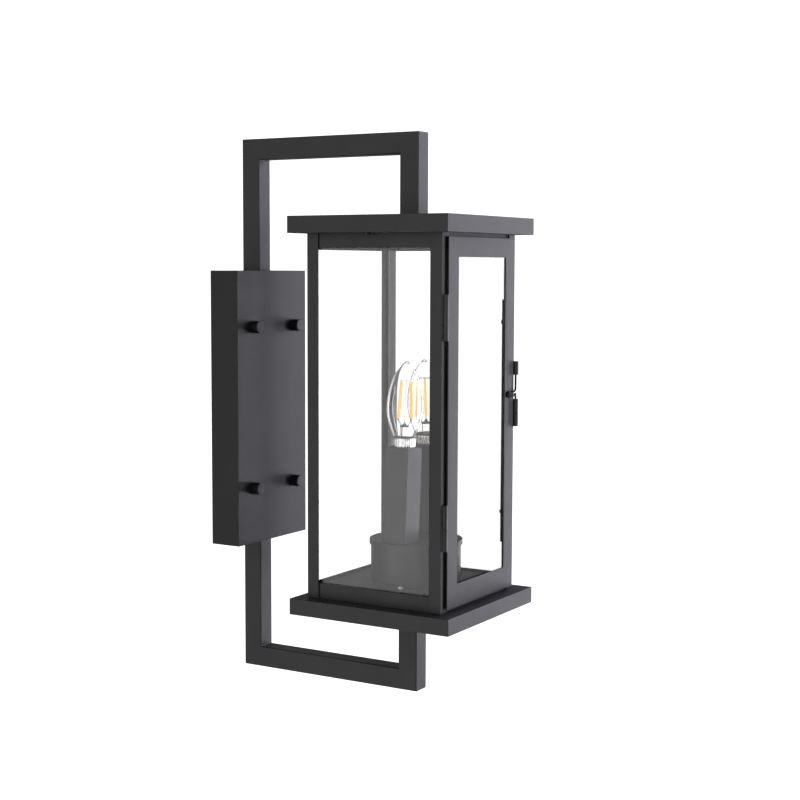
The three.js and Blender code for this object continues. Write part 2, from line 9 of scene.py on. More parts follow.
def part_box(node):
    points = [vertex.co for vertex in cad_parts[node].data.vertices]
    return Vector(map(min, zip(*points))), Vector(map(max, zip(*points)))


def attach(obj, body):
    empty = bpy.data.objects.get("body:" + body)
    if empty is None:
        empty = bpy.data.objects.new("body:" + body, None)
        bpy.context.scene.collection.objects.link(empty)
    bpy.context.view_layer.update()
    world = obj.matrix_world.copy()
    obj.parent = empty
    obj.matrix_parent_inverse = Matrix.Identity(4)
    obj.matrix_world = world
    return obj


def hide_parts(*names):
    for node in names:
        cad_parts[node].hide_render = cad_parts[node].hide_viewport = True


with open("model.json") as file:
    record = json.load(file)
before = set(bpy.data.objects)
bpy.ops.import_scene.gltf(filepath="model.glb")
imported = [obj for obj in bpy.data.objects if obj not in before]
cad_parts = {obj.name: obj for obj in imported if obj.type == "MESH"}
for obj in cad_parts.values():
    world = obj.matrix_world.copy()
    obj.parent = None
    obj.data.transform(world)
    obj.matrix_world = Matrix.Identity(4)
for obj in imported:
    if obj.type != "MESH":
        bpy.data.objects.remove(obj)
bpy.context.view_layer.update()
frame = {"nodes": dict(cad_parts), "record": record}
nodes = frame["nodes"]
scene = bpy.context.scene
MM = 0.001


# ---------------------------------------------------------------- shader nodes

def new_material(name):
    material = bpy.data.materials.new(name)
    material.use_nodes = True
    tree = material.node_tree
    shader = next(n for n in tree.nodes if n.type == "BSDF_PRINCIPLED")
    return material, tree, shader


def add(tree, kind, **inputs):
    """A new node, with its sockets or its own settings set by name."""
    node = tree.nodes.new(kind)
    for key, value in inputs.items():
        socket = key.replace("_", " ")
        if socket in node.inputs:
            node.inputs[socket].default_value = value
        else:
            setattr(node, key, value)
    return node


def object_coords(tree, stretch=(1, 1, 1)):
    coords = add(tree, "ShaderNodeTexCoord")
    mapping = add(tree, "ShaderNodeMapping")
    mapping.inputs["Scale"].default_value = stretch
    tree.links.new(coords.outputs["Object"], mapping.inputs["Vector"])
    return mapping.outputs["Vector"]


def noise(tree, coords, scale, detail=3.0, roughness=0.55):
    node = add(tree, "ShaderNodeTexNoise", Scale=scale, Detail=detail, Roughness=roughness)
    tree.links.new(coords, node.inputs["Vector"])
    return node.outputs["Fac"]


def remap(tree, value, low, high, from_low=0.3, from_high=0.7):
    node = add(tree, "ShaderNodeMapRange")
    node.inputs["From Min"].default_value = from_low
    node.inputs["From Max"].default_value = from_high
    node.inputs["To Min"].default_value = low
    node.inputs["To Max"].default_value = high
    tree.links.new(value, node.inputs["Value"])
    return node.outputs["Result"]


def mix_color(tree, factor, first, second):
    node = add(tree, "ShaderNodeMix", data_type="RGBA")
    tree.links.new(factor, node.inputs[0])
    for index, value in ((6, first), (7, second)):
        if isinstance(value, tuple):
            node.inputs[index].default_value = (*value, 1)
        else:
            tree.links.new(value, node.inputs[index])
    return node.outputs[2]


def bump(tree, heights, shader):
    """Chains bumps of (height, strength, distance) into the shader's normal."""
    normal = None
    for value, strength, distance in heights:
        node = add(tree, "ShaderNodeBump", Strength=strength, Distance=distance)
        tree.links.new(value, node.inputs["Height"])
        if normal is not None:
            tree.links.new(normal, node.inputs["Normal"])
        normal = node.outputs["Normal"]
    tree.links.new(normal, shader.inputs["Normal"])


# ---------------------------------------------------------------- materials

def powder_coat(name, dark, light, rough, grain=1.0, dust=0.0, gloss=0.35):
    """Satin powder coat: slow tone drift, fine leathery texture, tiny specks and dust on what faces up."""
    material, tree, shader = new_material(name)
    shader.inputs["Specular IOR Level"].default_value = gloss
    coords = object_coords(tree)
    drift = remap(tree, noise(tree, coords, 9, 4), 0, 1)
    color = mix_color(tree, drift, dark, light)
    specks = remap(tree, noise(tree, coords, 2600, 2, 0.7), 0, 0.5, 0.62, 0.8)
    color = mix_color(tree, specks, color, tuple(min(1, c * 2.2 + 0.004) for c in light))
    if dust:
        geometry = add(tree, "ShaderNodeNewGeometry")
        split = add(tree, "ShaderNodeSeparateXYZ")
        tree.links.new(geometry.outputs["Normal"], split.inputs[0])
        upward = remap(tree, split.outputs["Z"], 0, dust, 0.55, 1.0)
        patch = add(tree, "ShaderNodeMath", operation="MULTIPLY")
        tree.links.new(upward, patch.inputs[0])
        tree.links.new(remap(tree, noise(tree, coords, 45, 6), 0.35, 1), patch.inputs[1])
        color = mix_color(tree, patch.outputs[0], color, (0.16, 0.155, 0.15))
    tree.links.new(color, shader.inputs["Base Color"])
    roughness = remap(tree, noise(tree, coords, 30, 4), rough - 0.035, rough + 0.045)
    tree.links.new(roughness, shader.inputs["Roughness"])
    peel = noise(tree, coords, 520, 2)
    fine = noise(tree, coords, 1700, 3, 0.65)
    bump(tree, [(peel, 0.10 * grain, 0.0003), (fine, 0.16 * grain, 0.00012)], shader)
    return material


def bare_metal(name, dark, light, rough, brushed=(1, 1, 1)):
    """Metal with a fine uneven grain. A small value in brushed draws the grain out along that axis."""
    material, tree, shader = new_material(name)
    shader.inputs["Metallic"].default_value = 1.0
    coords = object_coords(tree, brushed)
    tree.links.new(mix_color(tree, remap(tree, noise(tree, coords, 420, 4), 0, 1), dark, light),
                   shader.inputs["Base Color"])
    tree.links.new(remap(tree, noise(tree, coords, 700, 3), rough - 0.06, rough + 0.08),
                   shader.inputs["Roughness"])
    bump(tree, [(noise(tree, coords, 1500, 2), 0.12, 0.0001)], shader)
    return material


def zinc_plate(name):
    """Zinc plating: crystalline patches of slightly different brightness."""
    material, tree, shader = new_material(name)
    shader.inputs["Metallic"].default_value = 1.0
    coords = object_coords(tree)
    spangle = add(tree, "ShaderNodeTexVoronoi", Scale=260.0)
    tree.links.new(coords, spangle.inputs["Vector"])
    shade = remap(tree, spangle.outputs["Color"], 0, 1, 0.1, 0.9)
    tree.links.new(mix_color(tree, shade, (0.52, 0.53, 0.55), (0.72, 0.73, 0.74)),
                   shader.inputs["Base Color"])
    tree.links.new(remap(tree, shade, 0.26, 0.42, 0, 1), shader.inputs["Roughness"])
    bump(tree, [(noise(tree, coords, 1200, 3), 0.1, 0.0001)], shader)
    return material


def glass(name, tint, ior, smear):
    """Clear glass with a very faint, uneven film and the slight waviness of drawn sheet."""
    material, tree, shader = new_material(name)
    shader.inputs["Transmission Weight"].default_value = 1.0
    shader.inputs["IOR"].default_value = ior
    coords = object_coords(tree)
    film = noise(tree, coords, 22, 5)
    tree.links.new(mix_color(tree, remap(tree, film, 0, 1), tint, tuple(c * 0.985 for c in tint)),
                   shader.inputs["Base Color"])
    tree.links.new(remap(tree, film, 0.0, smear), shader.inputs["Roughness"])
    wave = noise(tree, object_coords(tree, (1, 1, 0.35)), 14, 1)
    bump(tree, [(wave, 0.03, 0.0006)], shader)
    return material


def filament_coat(name):
    """Yellow phosphor in silicone, with the row of chips showing faintly through it, and a painted glow: its
    colour also feeds emission.
    """
    material, tree, shader = new_material(name)
    coords = object_coords(tree)
    chips = add(tree, "ShaderNodeTexWave", Scale=90.0, Distortion=0.6, Detail=1.0, bands_direction="Z")
    tree.links.new(coords, chips.inputs["Vector"])
    grain = noise(tree, coords, 1500, 3)
    warm = mix_color(tree, remap(tree, grain, 0, 1), (1.0, 0.52, 0.10), (1.0, 0.60, 0.15))
    row = remap(tree, chips.outputs["Fac"], 0, 0.35, 0.5, 1)
    color = mix_color(tree, row, warm, (1.0, 0.66, 0.22))
    tree.links.new(color, shader.inputs["Base Color"])
    # Painted glow: the phosphor's colour also drives emission, making the filament brighter than the studio
    # light makes it.
    tree.links.new(color, shader.inputs["Emission Color"])
    shader.inputs["Emission Strength"].default_value = 0.9
    shader.inputs["Subsurface Weight"].default_value = 0.3
    shader.inputs["Subsurface Radius"].default_value = (0.9, 0.5, 0.2)
    shader.inputs["Subsurface Scale"].default_value = 0.0006
    tree.links.new(remap(tree, grain, 0.32, 0.5), shader.inputs["Roughness"])
    bump(tree, [(grain, 0.2, 0.0001)], shader)
    return material


def glazed_ceramic(name):
    """Off-white ceramic under a thin clear glaze."""
    material, tree, shader = new_material(name)
    coords = object_coords(tree)
    tone = noise(tree, coords, 160, 5)
    tree.links.new(mix_color(tree, remap(tree, tone, 0, 1), (0.78, 0.76, 0.70), (0.86, 0.85, 0.80)),
                   shader.inputs["Base Color"])
    tree.links.new(remap(tree, tone, 0.24, 0.4), shader.inputs["Roughness"])
    shader.inputs["Coat Weight"].default_value = 0.3
    bump(tree, [(noise(tree, coords, 900, 3), 0.1, 0.0002)], shader)
    return material


def knob_coat_with_painted_light_and_shade(name):
    """The nuts' black coat with painted light and shade: a painted shade keeps the side deep black, and
    painted light makes the outer end paler; the end is also grainier.
    """
    material, tree, shader = new_material(name)
    shader.inputs["Specular IOR Level"].default_value = 0.22
    geometry = add(tree, "ShaderNodeNewGeometry")
    split = add(tree, "ShaderNodeSeparateXYZ")
    tree.links.new(geometry.outputs["Normal"], split.inputs[0])
    # Mask of the end face, by its normal: the end is painted as lit, the side as shaded.
    painted_light_end_mask = remap(tree, split.outputs["Y"], 1.0, 0.0, -0.97, -0.8)
    coords = object_coords(tree)
    grain = noise(tree, coords, 1900, 3, 0.65)
    # Painted shade: near-black colours for the side.
    side = mix_color(tree, remap(tree, noise(tree, coords, 300, 3), 0, 1), (0.0016, 0.0016, 0.0018),
                     (0.0032, 0.0030, 0.0034))
    # Painted light: paler colours for the outer end.
    end = mix_color(tree, remap(tree, grain, 0, 1), (0.040, 0.039, 0.042), (0.062, 0.060, 0.064))
    tree.links.new(mix_color(tree, painted_light_end_mask, side, end), shader.inputs["Base Color"])
    tree.links.new(remap(tree, noise(tree, coords, 240, 3), 0.40, 0.52), shader.inputs["Roughness"])
    bump(tree, [(grain, 0.2, 0.00014)], shader)
    return material


BLACK = powder_coat("satin_black_coat", (0.0040, 0.0036, 0.0042), (0.0062, 0.0056, 0.0066), 0.44,
                    dust=0.01, gloss=0.5)
HINGE = powder_coat("hinge_black_coat", (0.0022, 0.0022, 0.0024), (0.0040, 0.0038, 0.0042), 0.42,
                    grain=1.3, gloss=0.5)
LAMP_COAT = powder_coat("lamp_black_coat", (0.0066, 0.0063, 0.0070), (0.0082, 0.0078, 0.0088), 0.44,
                        grain=0.3, gloss=0.68)
ZINC = zinc_plate("zinc_plating")
PANE = glass("clear_pane_glass", (0.994, 0.997, 0.996), 1.5, 0.006)
BULB = glass("bulb_glass_clear", (0.997, 0.997, 0.997), 1.47, 0.002)
CERAMIC = glazed_ceramic("glazed_ceramic")
NICKEL = bare_metal("nickel_plated_cap", (0.93, 0.92, 0.89), (0.98, 0.97, 0.95), 0.28, (1, 1, 0.3))
WIRE = bare_metal("dark_support_wire", (0.10, 0.085, 0.07), (0.20, 0.17, 0.14), 0.4)
VITRITE = powder_coat("black_vitrite", (0.004, 0.004, 0.005), (0.008, 0.008, 0.01), 0.15, grain=0.4)
AMBER = filament_coat("filament_phosphor")
CEMENT = powder_coat("bulb_cement", (0.24, 0.21, 0.13), (0.40, 0.36, 0.24), 0.6, grain=0.6, gloss=0.2)
KNOB_PAINTED_LIGHT_AND_SHADE = knob_coat_with_painted_light_and_shade("knob_painted_light_and_shade")
LATCH_WIRE = powder_coat("latch_wire_black", (0.0016, 0.0016, 0.0018), (0.0030, 0.0028, 0.0032), 0.6,
                         gloss=0.12)
# Painted shade: the wall box gets a darker, less glossy copy of the satin black coat, standing in for the
# lantern body's shade on the box.
WALL_BOX_SHADED_COAT = powder_coat("wall_box_painted_shade_coat", (0.0036, 0.0033, 0.0038), (0.0054, 0.0050, 0.0058), 0.44, gloss=0.36)
PAN = powder_coat("floor_pan_coat", (0.0050, 0.0047, 0.0054), (0.0080, 0.0076, 0.0086), 0.5, gloss=0.36)


# ---------------------------------------------------------------- CAD nodes: materials and softened edges

def dress(names, material):
    for name in names:
        node = nodes[name]
        node.data.materials.clear()
        node.data.materials.append(material)


def soften(name, width):
    """Joins the imported mesh's split vertices and rounds its sharp edges slightly."""
    node = nodes[name]
    mesh = node.data
    if "custom_normal" in mesh.attributes:
        mesh.attributes.remove(mesh.attributes["custom_normal"])
    for polygon in mesh.polygons:
        polygon.use_smooth = True
    weld = node.modifiers.new("weld", "WELD")
    weld.merge_threshold = 0.00001
    bevel = node.modifiers.new("edge", "BEVEL")
    bevel.width = width
    bevel.segments = 2
    bevel.limit_method = "ANGLE"
    bevel.angle_limit = math.radians(30)
    bevel.miter_outer = "MITER_ARC"
    bevel.use_clamp_overlap = True
    shade = node.modifiers.new("shade", "WEIGHTED_NORMAL")
    shade.keep_sharp = True
    shade.weight = 80


SLOT_MATERIALS = {
    "satin_black": BLACK, "hinge_black": HINGE, "grey_paint": LAMP_COAT, "zinc": ZINC,
    "clear_glass": PANE, "holder_white": CERAMIC, "bulb_cap": NICKEL, "filament": AMBER,
}
# Width of the rounded edges, in metres.
EDGE = {
    "satin_black": 0.00035, "hinge_black": 0.0002, "grey_paint": 0.0003, "zinc": 0.0002,
    "clear_glass": 0.00025, "holder_white": 0.0004, "bulb_cap": 0.0002, "filament": 0.0001,
}
for entry in frame["record"]["subparts"]:
    dress([entry["node"]], SLOT_MATERIALS[entry["material_slot"]])
    soften(entry["node"], EDGE[entry["material_slot"]])
dress([name for name in nodes if name.startswith("knob_nut_")], KNOB_PAINTED_LIGHT_AND_SHADE)
dress(["floor_pan"], PAN)
dress(["latch_wire"], LATCH_WIRE)
dress(["wall_box"], WALL_BOX_SHADED_COAT)


# ---------------------------------------------------------------- mesh helpers

def make_object(name, verts, faces, material, smooth_angle=35):
    """A new object, shaded smooth except across edges sharper than smooth_angle degrees."""
    mesh = bpy.data.meshes.new(name)
    mesh.from_pydata([tuple(v) for v in verts], [], faces)
    bm = bmesh.new()
    bm.from_mesh(mesh)
    bmesh.ops.remove_doubles(bm, verts=bm.verts, dist=1e-6)
    bmesh.ops.recalc_face_normals(bm, faces=bm.faces)
    limit = math.radians(smooth_angle)
    for face in bm.faces:
        face.smooth = True
    for edge in bm.edges:
        if len(edge.link_faces) == 2 and edge.calc_face_angle(0) > limit:
            edge.smooth = False
    bm.to_mesh(mesh)
    bm.free()
    mesh.materials.append(material)
    obj = bpy.data.objects.new(name, mesh)
    scene.collection.objects.link(obj)
    return obj


def lathe(profile, sides=64, ripple=None):
    """A profile of (radius, height) turned about Z. ripple(angle, index) is added to a ring's radius."""
    verts, faces, rings = [], [], []
    for index, (radius, height) in enumerate(profile):
        if radius < 1e-7:
            rings.append([len(verts)])
            verts.append(Vector((0, 0, height)))
            continue
        ring = []
        for step in range(sides):
            angle = 2 * math.pi * step / sides
            r = radius + (ripple(angle, index) if ripple else 0)
            ring.append(len(verts))
            verts.append(Vector((r * math.cos(angle), r * math.sin(angle), height)))
        rings.append(ring)
    for low, high in zip(rings, rings[1:]):
        for step in range(sides):
            after = (step + 1) % sides
            if len(low) == 1 and len(high) == 1:
                continue
            if len(low) == 1:
                faces.append((low[0], high[after], high[step]))
            elif len(high) == 1:
                faces.append((low[step], low[after], high[0]))
            else:
                faces.append((low[step], low[after], high[after], high[step]))
    return verts, faces


def bar_between(start, end, radius, sides=16, dome=0.0):
    """A round bar from one point to another, with optional domed ends."""
    start, end = Vector(start), Vector(end)
    length = (end - start).length
    profile = [(0, 0)]
    turns = [math.pi / 2 * step / 5 for step in range(1, 5)] if dome else []
    profile += [(radius * math.sin(turn), dome * (1 - math.cos(turn))) for turn in turns]
    profile += [(radius, dome), (radius, length - dome)]
    profile += [(radius * math.sin(turn), length - dome * (1 - math.cos(turn))) for turn in turns[::-1]]
    profile.append((0, length))
    verts, faces = lathe(profile, sides)
    turn = Vector((0, 0, 1)).rotation_difference((end - start).normalized()).to_matrix().to_4x4()
    place = Matrix.Translation(start) @ turn
    return [place @ v for v in verts], faces


def merged(parts):
    """Several meshes of (verts, faces) as one."""
    verts, faces = [], []
    for part_verts, part_faces in parts:
        base = len(verts)
        verts += part_verts
        faces += [tuple(base + index for index in face) for face in part_faces]
    return verts, faces


def spline(points, count):
    """A uniform Catmull-Rom curve through (radius, height) points, with count steps to a span."""
    pts = [Vector(p) for p in points]
    pts = [2 * pts[0] - pts[1]] + pts + [2 * pts[-1] - pts[-2]]
    out = []
    for i in range(1, len(pts) - 2):
        a, b, c, d = pts[i - 1], pts[i], pts[i + 1], pts[i + 2]
        for step in range(count):
            t = step / count
            out.append(0.5 * ((2 * b) + (c - a) * t + (2 * a - 5 * b + 4 * c - d) * t * t
                              + (3 * b - a - 3 * c + d) * t ** 3))
    out.append(pts[-2])
    return [(max(0.0, p[0]), p[1]) for p in out]


# ---------------------------------------------------------------- the welded loop of square tube

TUBE_CORNER = 0.0013  # rounding of the tube's long edges, in metres


def tube_profile(width, depth, radius):
    """The outline of a square tube with rounded corners."""
    segments = 5
    points = []
    for cx, cy, first in ((1, 1, 0), (-1, 1, 90), (-1, -1, 180), (1, -1, 270)):
        for step in range(segments + 1):
            angle = math.radians(first + 90 * step / segments)
            points.append((cx * (width / 2 - radius) + radius * math.cos(angle),
                           cy * (depth / 2 - radius) + radius * math.sin(angle)))
    return points


def build_loop():
    """One mitred frame through the middles of the five CAD tubes."""
    low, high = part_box("frame_back_upright")
    front_low, front_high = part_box("frame_front_upper")
    _, under_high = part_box("frame_front_lower")
    width, depth = high.x - low.x, high.y - low.y
    top_low, top_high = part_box("frame_top_arm")
    bottom_low, bottom_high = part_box("frame_bottom_arm")
    back = (low.y + high.y) / 2
    front = (front_low.y + front_high.y) / 2
    top = (top_low.z + top_high.z) / 2
    bottom = (bottom_low.z + bottom_high.z) / 2
    path = [Vector((front, front_low.z)), Vector((front, top)), Vector((back, top)),
            Vector((back, bottom)), Vector((front, bottom)), Vector((front, under_high.z))]
    profile = tube_profile(width, depth, TUBE_CORNER)
    verts, faces, rings = [], [], []
    for index, point in enumerate(path):
        sides = []
        if index > 0:
            run = (point - path[index - 1]).normalized()
            sides.append(Vector((-run.y, run.x)))
        if index < len(path) - 1:
            run = (path[index + 1] - point).normalized()
            sides.append(Vector((-run.y, run.x)))
        normal = sides[0] if len(sides) == 1 else (sides[0] + sides[1]) / (1 + sides[0].dot(sides[1]))
        ring = []
        for x, offset in profile:
            spot = point + normal * offset
            ring.append(len(verts))
            verts.append(Vector((x, spot.x, spot.y)))
        rings.append(ring)
    count = len(profile)
    for low_ring, high_ring in zip(rings, rings[1:]):
        for step in range(count):
            after = (step + 1) % count
            faces.append((low_ring[step], low_ring[after], high_ring[after], high_ring[step]))
    faces.append(tuple(rings[0]))
    faces.append(tuple(reversed(rings[-1])))
    loop = make_object("frame_loop", verts, faces, BLACK, 40)
    soft = loop.modifiers.new("corner", "BEVEL")
    soft.width = 0.0006
    soft.segments = 3
    soft.limit_method = "ANGLE"
    soft.angle_limit = math.radians(50)
    shade = loop.modifiers.new("shade", "WEIGHTED_NORMAL")
    shade.keep_sharp = True
    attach(loop, "lantern_body")
    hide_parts("frame_back_upright", "frame_top_arm", "frame_bottom_arm",
                "frame_front_upper", "frame_front_lower")


build_loop()


# ---------------------------------------------------------------- the two bulbs

# All in millimetres. A candle stands on the cup at the foot of its sleeve and leans towards the middle.
CUP_OUT, CUP_TOP = 195.7, -116.6
SLEEVE_ACROSS, SLEEVE_LENGTH, LEAN = 27.0, 87.6, 3.8
GAP = 0.3
COLLAR, COLLAR_RADIUS, SHELL = 9.0, 10.7, 21.0
COLLAR_FOOT = SLEEVE_LENGTH + GAP
SHELL_FOOT = COLLAR_FOOT - SHELL
GLASS_FOOT = COLLAR_FOOT + COLLAR + GAP
GLASS_SKIN, GLASS_TIP_SKIN, GLASS_RIM = 0.55, 0.9, (7.6, -0.15)
GLASS_OUTLINE = [(9.4, 0), (10.3, 1.7), (13.2, 8.2), (15.5, 14.8), (17.1, 22.5), (17.3, 28), (16.6, 37.6),
                 (14.2, 48.6), (10.8, 57.2), (6.3, 64.3), (3.6, 67.7), (1.6, 69.6), (0.6, 70.1), (0, 70.2)]
FLUTES, FLUTE_DEPTHS = 26, {3: 0.16, 4: 0.42, 5: 0.42, 6: 0.42, 7: 0.2}  # depths by ring of the collar
THREAD_RADIUS, THREAD_PITCH, THREAD_CREST, THREAD_RINGS, THREAD_FADE = 6.42, 2.82, 0.32, 60, 6
# Each filament runs from (radius, height) at its foot to its head, measured from the foot of the glass.
FILAMENT_FOOT, FILAMENT_HEAD, HOOK_TOP, FILAMENT_RADIUS = (8.4, 16.8), (6.1, 51.2), 52.3, 1.2


def candle_matrix(side):
    sign = -1 if side == "left" else 1
    return (Matrix.Translation((sign * SLEEVE_ACROSS * MM, -CUP_OUT * MM, CUP_TOP * MM))
            @ Matrix.Rotation(math.radians(-sign * LEAN), 4, "Y") @ Matrix.Scale(MM, 4))


def raised(profile, height):
    return [(r, height + h) for r, h in profile]


def bulb_piece(name, side, mesh, material, smooth_angle=35, node=None):
    """Puts a mesh of (verts, faces) on one candle's axis and lets it ride on that bulb."""
    verts, faces = mesh
    place = candle_matrix(side)
    obj = make_object(f"{name}_{side}", [place @ Vector(v) for v in verts], faces, material, smooth_angle)
    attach(obj, f"bulb_{side}")
    if node:
        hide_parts(f"{node}_{side}")


def envelope_mesh():
    """The blown glass: an outer and an inner skin that meet at the cemented rim."""
    outer = spline(GLASS_OUTLINE, 7)
    inner = [(max(0.0, r - GLASS_SKIN), h - (GLASS_TIP_SKIN if r < 3 else 0.0)) for r, h in outer]
    return merged([lathe(raised([GLASS_RIM, *outer], GLASS_FOOT), 72),
                   lathe(raised([GLASS_RIM, (8.2, 0.4), *inner[3:]], GLASS_FOOT)[::-1], 72)])


def screw_cap_mesh():
    """The fluted collar and the threaded shell below it."""
    r = COLLAR_RADIUS
    collar = raised([(7.0, 0.2), (r - 0.5, 0), (r - 0.1, 0.3), (r, 0.9), (r, 2.6), (r, 4.6), (r, 6.2),
                     (r, 7.3), (r - 0.2, 7.9), (r - 0.4, 8.2)], COLLAR_FOOT)
    top = COLLAR_FOOT - 1.2
    drop = top - SHELL_FOOT - 1.5
    heights = [top - drop * step / THREAD_RINGS for step in range(THREAD_RINGS + 1)]
    shell = [(7.0, COLLAR_FOOT + 0.2), (5.6, COLLAR_FOOT - 0.6), *[(THREAD_RADIUS, h) for h in heights],
             (5.4, SHELL_FOOT + 0.6), (4.6, SHELL_FOOT)]

    def flute(angle, index):
        return -FLUTE_DEPTHS.get(index, 0) * (0.5 + 0.5 * math.cos(FLUTES * angle)) ** 2

    def thread(angle, index):
        ring = len(shell) - 1 - index
        if not 1 <= ring <= THREAD_RINGS + 1:
            return 0
        fade = min(1, (ring - 1) / THREAD_FADE, (THREAD_RINGS + 1 - ring) / THREAD_FADE)
        return fade * THREAD_CREST * math.cos(2 * math.pi * heights[ring - 1] / THREAD_PITCH - angle)

    return merged([lathe(collar, 240, flute), lathe(shell[::-1], 64, thread)])


def stem_mesh():
    """The hollow glass stem that carries the filaments."""
    outside = spline([(4.6, -0.5), (4.5, 0.9), (4.3, 2.2), (4.2, 4.0), (4.1, 6.5), (4.0, 8.8), (3.6, 9.8),
                      (2.6, 10.6), (1.6, 12.0), (1.2, 13.2), (0, 13.5)], 3)
    inside = [(r - 0.6, h) for r, h in outside if r > 2.4]
    return lathe(raised([(0, 10.0), *inside[::-1], *outside], GLASS_FOOT), 48)


def filament_meshes(turn):
    """The four filaments, the dark wires that hold them and the bright hooks over them."""
    foot, head, top = FILAMENT_FOOT, FILAMENT_HEAD, HOOK_TOP
    rods, wires, hooks = [], [], []
    for index in range(4):
        angle = math.radians(turn + 45 + 90 * index)
        away = Vector((math.cos(angle), math.sin(angle), 0))

        def at(radius, height):
            return away * radius + Vector((0, 0, GLASS_FOOT + height))

        rods.append(bar_between(at(*foot), at(*head), FILAMENT_RADIUS, 20, dome=0.9))
        wires.append(bar_between(at(foot[0] + 0.1, foot[1] - 1.6), at(foot[0] - 0.05, foot[1] + 0.8),
                                 0.42, 10))
        wires.append(bar_between(at(3.5, 10.0), at(foot[0] + 0.1, foot[1] - 1.4), 0.24, 10))
        hooks.append(bar_between(at(head[0], head[1] - 0.6), at(head[0] - 0.1, top), 0.36, 10))
        hooks.append(bar_between(at(0, top), at(head[0] - 0.1, top), 0.2, 10))
    clamp = [(3.0, 9.2), (4.1, 9.2), (4.35, 9.6), (4.35, 10.2), (4.1, 10.7), (3.0, 10.7), (3.0, 9.2)]
    wires.append(lathe(raised(clamp, GLASS_FOOT), 48))
    wires.append(bar_between((0, 0, GLASS_FOOT + 12.6), (0, 0, GLASS_FOOT + top), 0.22, 10))
    hoop_in, hoop_out = head[0] - 0.3, head[0] + 0.1
    hoop = [(hoop_in, top - 0.2), (hoop_out, top - 0.2), (hoop_out, top + 0.2), (hoop_in, top + 0.2),
            (hoop_in, top - 0.2)]
    hooks.append(lathe(raised(hoop, GLASS_FOOT), 48))
    return merged(rods), merged(wires), merged(hooks)


def build_bulb(side, turn):
    """One bulb, its four filaments turned by so many degrees."""
    r = COLLAR_RADIUS
    cement = raised([(r - 0.5, 8.0), (r - 0.34, 8.3), (r - 0.4, 8.8), (r - 0.7, 9.15), (8.6, 9.3), (7.4, 9.2),
                     (7.0, 7.4)], COLLAR_FOOT)
    plate = raised([(0, 7.6), (8.2, 7.6), (8.4, 8.0), (8.0, 8.5), (0, 8.6)], COLLAR_FOOT)
    insulator = raised([(4.7, 0.1), (4.2, -0.6), (3.1, -1.3), (2.4, -1.5), (0, -1.5)], SHELL_FOOT)
    button = raised([(2.3, -1.4), (2.3, -1.7), (1.7, -2.2), (0.8, -2.38), (0, -2.4)], SHELL_FOOT)
    rods, wires, hooks = filament_meshes(turn)
    bulb_piece("bulb_envelope", side, envelope_mesh(), BULB, 60, "bulb_glass")
    bulb_piece("bulb_screw_cap", side, screw_cap_mesh(), NICKEL, 50, "bulb_cap")
    bulb_piece("bulb_cement_ring", side, lathe(cement, 96), CEMENT, 50)
    bulb_piece("bulb_base_plate", side, lathe(plate, 64), CERAMIC)
    bulb_piece("bulb_insulator", side, lathe(insulator, 48), VITRITE)
    bulb_piece("bulb_contact", side, lathe(button, 32), ZINC)
    bulb_piece("bulb_stem", side, stem_mesh(), BULB, 60)
    bulb_piece("bulb_filaments", side, rods, AMBER, 60, "filament_mount")
    bulb_piece("bulb_support_wires", side, wires, WIRE, 40)
    bulb_piece("bulb_top_hooks", side, hooks, NICKEL, 40)


build_bulb("left", 27)
build_bulb("right", 76)


# ---------------------------------------------------------------- small fixings

def weld_bead(name, place, radius, tall):
    """A small tack weld on the edge of the corner post, beside a hinge knuckle."""
    turns = [math.pi * step / 10 for step in range(11)]
    profile = [(radius * math.sin(turn), -tall / 2 * math.cos(turn)) for turn in turns]
    unevenness = 0.12
    verts, faces = lathe(profile, 20, lambda angle, index: unevenness * math.sin(3 * angle + index))
    place = Matrix.Translation(Vector(place) * MM) @ Matrix.Scale(MM, 4)
    bead = make_object(name, [place @ v for v in verts], faces, HINGE, 60)
    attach(bead, "lantern_body")


# The lower pair stands beside the door's half of the knuckle, so its beads are smaller and clear of it.
WELDS = (("upper", (86.2, 76.4), -69.7, -262.3, 1.15), ("lower", (-77.0, -88.0), -69.95, -261.95, 0.85))
for level, heights, across, out, radius in WELDS:
    for index, height in enumerate(heights):
        weld_bead(f"hinge_weld_{level}_{index + 1}", (across, out, height), radius, 3.2 + index)


def floor_screw():
    """A pan-head screw with a cross recess."""
    low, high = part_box("floor_screw")
    centre = (low + high) / 2
    radius, tall = (high.x - low.x) / 2 / MM, (high.z - low.z) / MM
    profile = [(0, 0), (radius, 0), (radius, 0.35 * tall)]
    for step in range(1, 15):
        reach = math.pi / 2 * step / 14
        profile.append((radius * math.cos(reach), tall * (0.35 + 0.65 * math.sin(reach))))
    profile[-1] = (0, tall)
    verts, faces = lathe(profile, 64)
    slot_reach, slot_half_width, slot_depth = 0.72 * radius, 0.16 * radius, 0.45 * tall
    for vert in verts:
        in_slot = min(abs(vert.x), abs(vert.y)) < slot_half_width
        if vert.z > 0.6 * tall and math.hypot(vert.x, vert.y) < slot_reach and in_slot:
            vert.z -= slot_depth
    place = (Matrix.Translation((centre.x, centre.y, low.z)) @ Matrix.Rotation(0.5, 4, "Z")
             @ Matrix.Scale(MM, 4))
    screw = make_object("floor_screw_head", [place @ v for v in verts], faces, ZINC, 50)
    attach(screw, "lantern_body")
    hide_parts("floor_screw")


floor_screw()


# ---------------------------------------------------------------- camera

